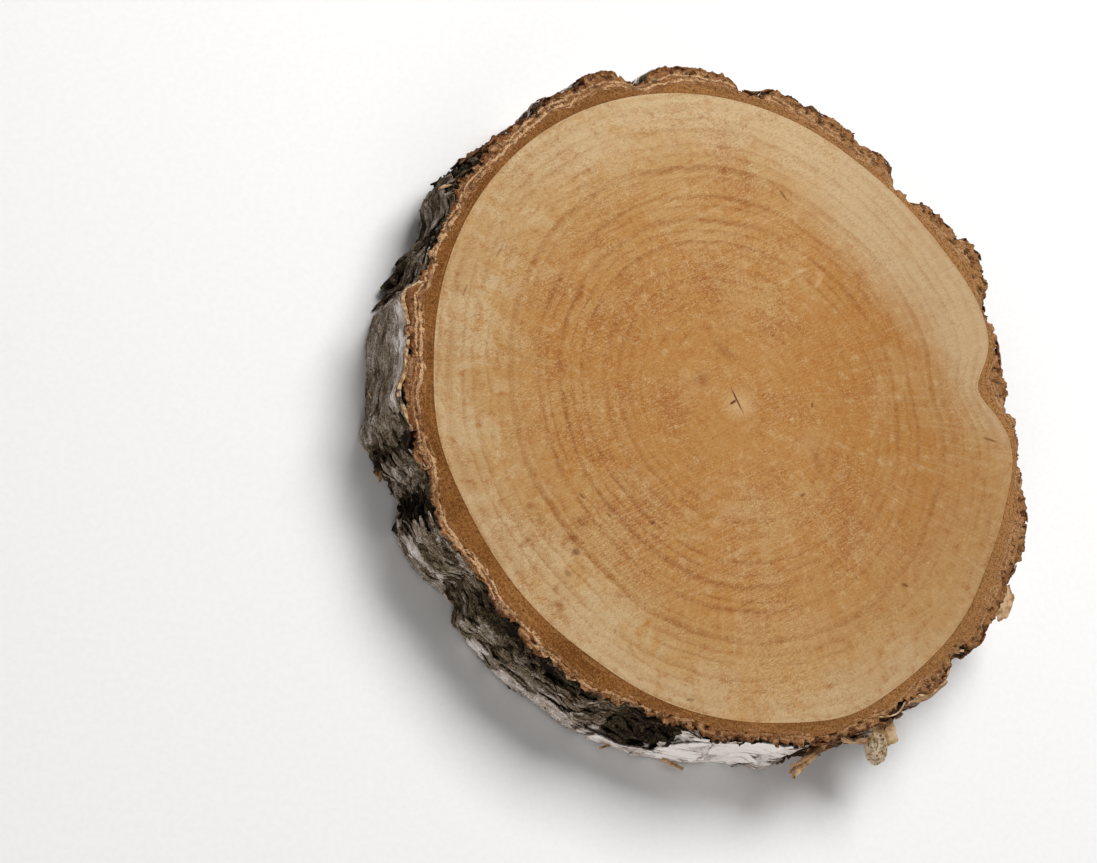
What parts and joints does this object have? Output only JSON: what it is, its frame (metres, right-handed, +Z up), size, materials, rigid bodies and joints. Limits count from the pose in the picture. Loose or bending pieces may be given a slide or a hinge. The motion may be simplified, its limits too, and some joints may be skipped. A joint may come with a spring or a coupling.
{
  "type": "birch wood slice",
  "caption": "Round slice sawn across a birch trunk, with flat sawn faces and its rough, peeling bark left on.",
  "frame": {"origin": "the pith, at the middle of the underside that the slice lies on", "axes": "+Z up along the trunk, through the thickness; the filled hollow in the edge lies near +X"},
  "size_m": [0.2335, 0.2342, 0.03],
  "materials": {
    "wood": "dry sawn end grain, matt",
    "cut_bark": "sawn inner bark, granular, matt",
    "outer_bark": "rough furrowed bark, matt",
    "paper_bark": "papery white bark, slight sheen"
  },
  "bodies": {
    "root": {"birch_slice": "wood"}
  },
  "joints": []
}
